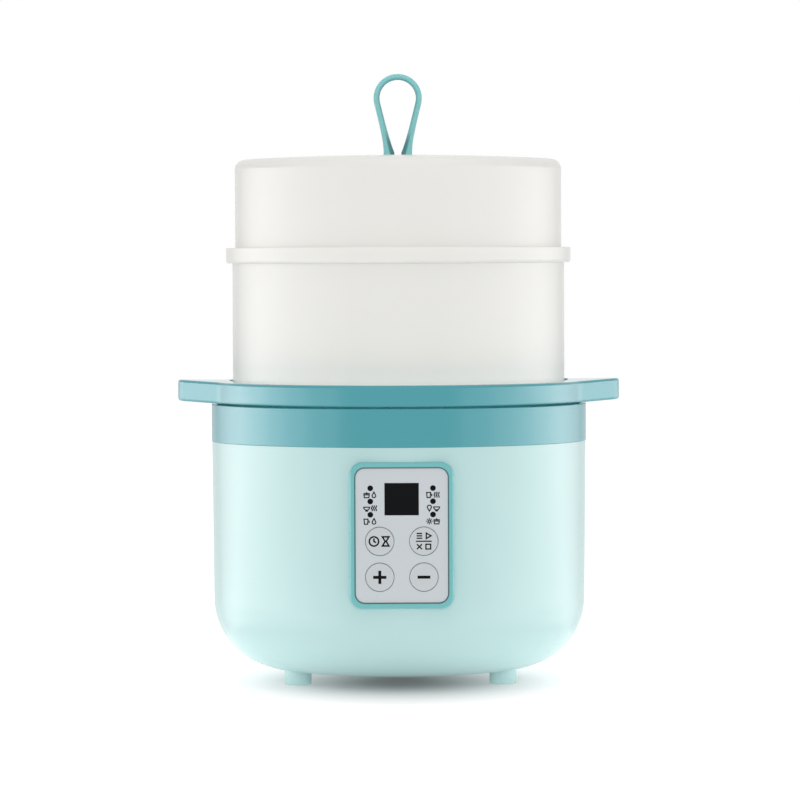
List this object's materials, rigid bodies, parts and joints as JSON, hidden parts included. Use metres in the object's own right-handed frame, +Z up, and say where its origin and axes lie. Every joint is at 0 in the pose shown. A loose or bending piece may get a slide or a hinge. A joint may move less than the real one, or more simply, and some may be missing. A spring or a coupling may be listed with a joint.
{
  "type": "electric steam cooker",
  "caption": "Round electric water-bath cooker with a mint base, teal carry ring with ears, front button panel, translucent steaming tier and cover with a soft loop.",
  "frame": {"origin": "on the table, under the middle of the base", "axes": "+Z up, control panel towards -Y, ears along X"},
  "size_m": [0.2084, 0.1781, 0.2858],
  "materials": {
    "mint_plastic": "smooth moulded, soft gloss",
    "teal_plastic": "smooth moulded, gloss",
    "bezel_plastic": "smooth moulded, gloss",
    "frosted_plastic": "translucent, fine satin",
    "soft_silicone": "matte, soft",
    "pad_rubber": "matte",
    "panel_silver": "metallic film, satin",
    "button_silver": "metallic paint, satin",
    "smoked_lens": "gloss",
    "tank_steel": "drawn, brushed",
    "cast_metal": "cast, matte",
    "sheet_metal": "pressed sheet",
    "element_metal": "oxidised, dull",
    "screw_steel": "plated",
    "glazed_pot": "glazed, gloss",
    "board_laminate": "solder mask",
    "black_plastic": "fine grain",
    "blue_plastic": "smooth",
    "amber_plastic": "smooth",
    "lamp_resin": "clear resin",
    "contact_brass": "plated",
    "lead_brown": "soft sleeve",
    "lead_pale": "glass-fibre sleeve",
    "cable_grey": "flat cable",
    "gasket_silicone": "soft",
    "fuse_ceramic": "unglazed"
  },
  "bodies": {
    "base": {"outer_housing": "mint_plastic", "collar": "teal_plastic", "base_cover": "mint_plastic", "foot_pads": "pad_rubber", "water_tank": "tank_steel", "tank_gasket": "gasket_silicone", "heating_plate": "cast_metal", "heating_element": "element_metal", "heater_spacers": "fuse_ceramic", "temperature_sensor": "sheet_metal", "sensor_clip": "sheet_metal", "thermal_fuse": "fuse_ceramic", "fuse_clip": "sheet_metal", "heat_shield": "cast_metal", "power_board": "board_laminate", "power_relay": "blue_plastic", "filter_capacitor": "amber_plastic", "bulk_capacitor": "black_plastic", "board_terminals": "contact_brass", "inlet_socket": "black_plastic", "inlet_pins": "contact_brass", "control_board": "board_laminate", "display_module": "black_plastic", "tact_switches": "black_plastic", "status_leds": "lamp_resin", "indicator_lenses": "smoked_lens", "display_window": "smoked_lens", "panel_bezel": "bezel_plastic", "panel_plate": "panel_silver", "base_cover_screws": "screw_steel", "heater_screws": "screw_steel", "power_board_screws": "screw_steel", "control_board_screws": "screw_steel", "mains_leads": "lead_brown", "heater_leads": "lead_pale", "control_cable": "cable_grey"},
    "timer_button": {"timer_button": "button_silver", "timer_plunger": "black_plastic"},
    "function_button": {"function_button": "button_silver", "function_plunger": "black_plastic"},
    "plus_button": {"plus_button": "button_silver", "plus_plunger": "black_plastic"},
    "minus_button": {"minus_button": "button_silver", "minus_plunger": "black_plastic"},
    "carry_ring": {"carry_ring": "teal_plastic"},
    "inner_pot": {"inner_pot": "glazed_pot"},
    "pot_lid": {"pot_lid": "glazed_pot"},
    "steam_tier": {"steam_tier": "frosted_plastic"},
    "steam_tray": {"steam_tray": "frosted_plastic"},
    "steam_cover": {"steam_cover": "frosted_plastic", "loop_handle": "soft_silicone"}
  },
  "joints": [
    {"name": "timer_press", "type": "slide", "parent": "base", "child": "timer_button", "axis": [0, 1, 0], "range_m": [0, 0.0006], "stiffness_N_per_m": 300, "springref_m": -0.0004},
    {"name": "function_press", "type": "slide", "parent": "base", "child": "function_button", "axis": [0, 1, 0], "range_m": [0, 0.0006], "stiffness_N_per_m": 300, "springref_m": -0.0004},
    {"name": "plus_press", "type": "slide", "parent": "base", "child": "plus_button", "axis": [0, 1, 0], "range_m": [0, 0.0006], "stiffness_N_per_m": 300, "springref_m": -0.0004},
    {"name": "minus_press", "type": "slide", "parent": "base", "child": "minus_button", "axis": [0, 1, 0], "range_m": [0, 0.0006], "stiffness_N_per_m": 300, "springref_m": -0.0004},
    {"name": "ring_lift", "type": "slide", "parent": "base", "child": "carry_ring", "axis": [0, 0, 1], "range_m": [0, 0.09]},
    {"name": "pot_lift", "type": "slide", "parent": "carry_ring", "child": "inner_pot", "axis": [0, 0, 1], "range_m": [0, 0.1]},
    {"name": "pot_lid_lift", "type": "slide", "parent": "inner_pot", "child": "pot_lid", "axis": [0, 0, 1], "range_m": [0, 0.07]},
    {"name": "tier_lift", "type": "slide", "parent": "pot_lid", "child": "steam_tier", "axis": [0, 0, 1], "range_m": [0, 0.07]},
    {"name": "tray_lift", "type": "slide", "parent": "steam_tier", "child": "steam_tray", "axis": [0, 0, 1], "range_m": [0, 0.08]},
    {"name": "cover_lift", "type": "slide", "parent": "steam_tray", "child": "steam_cover", "axis": [0, 0, 1], "range_m": [0, 0.08]}
  ]
}
